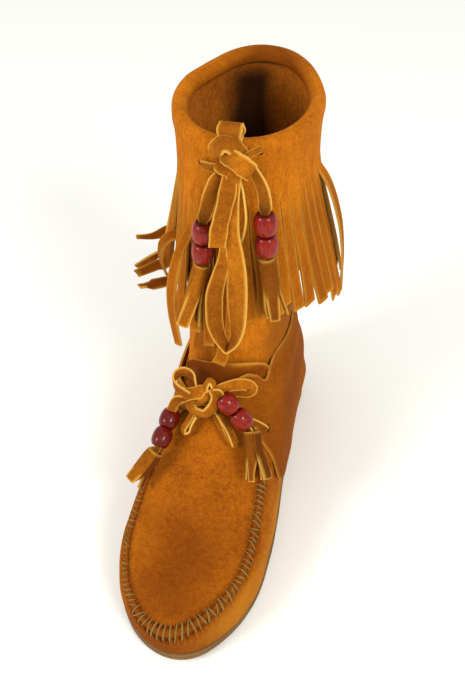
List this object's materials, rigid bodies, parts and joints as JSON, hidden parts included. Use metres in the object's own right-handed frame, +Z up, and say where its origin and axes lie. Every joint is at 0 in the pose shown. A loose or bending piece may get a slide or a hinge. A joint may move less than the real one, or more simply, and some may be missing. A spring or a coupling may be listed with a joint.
{
  "type": "fringed moccasin boot",
  "caption": "Left suede moccasin boot on a thin rubber sole: hollow upper and leg, rolled collar with a cut fringe cuff, gathered toe seam, and thong laces with wooden beads and tassels.",
  "frame": {"origin": "on the floor under the middle of the heel", "axes": "+Z up, the toe points to -Y, +X is the outer side of the left foot"},
  "size_m": [0.1389, 0.2739, 0.2772],
  "materials": {
    "suede": "napped rust-brown suede",
    "suede_inside": "dark napped flesh side",
    "suede_lace": "flat cut suede thong",
    "sole_rubber": "matt tan-brown rubber",
    "bead_wood": "glossy dark red lacquer",
    "seam_thread": "waxed khaki thread over a gathered seam"
  },
  "bodies": {
    "root": {"outsole": "sole_rubber", "insole": "suede_inside", "upper": "suede", "tongue": "suede", "quarter": "suede", "moc_seam": "seam_thread", "shaft": "suede_inside", "collar": "suede", "fringe": "suede", "collar_lace_bar": "suede_lace", "collar_knot": "suede_lace", "collar_loop_long": "suede_lace", "collar_loop_short": "suede_lace", "collar_tail": "suede_lace", "collar_outer_end": "suede_lace", "collar_outer_bead_high": "bead_wood", "collar_outer_bead_low": "bead_wood", "collar_outer_tassel": "suede", "collar_inner_end": "suede_lace", "collar_inner_bead_high": "bead_wood", "collar_inner_bead_low": "bead_wood", "collar_inner_tassel": "suede", "ankle_lace_bar": "suede_lace", "ankle_knot": "suede_lace", "ankle_loop_up": "suede_lace", "ankle_loop_side": "suede_lace", "ankle_loop_low": "suede_lace", "ankle_outer_end": "suede_lace", "ankle_outer_bead_high": "bead_wood", "ankle_outer_bead_low": "bead_wood", "ankle_outer_tassel": "suede", "ankle_inner_end": "suede_lace", "ankle_inner_bead_high": "bead_wood", "ankle_inner_bead_low": "bead_wood", "ankle_inner_tassel": "suede"}
  },
  "joints": []
}
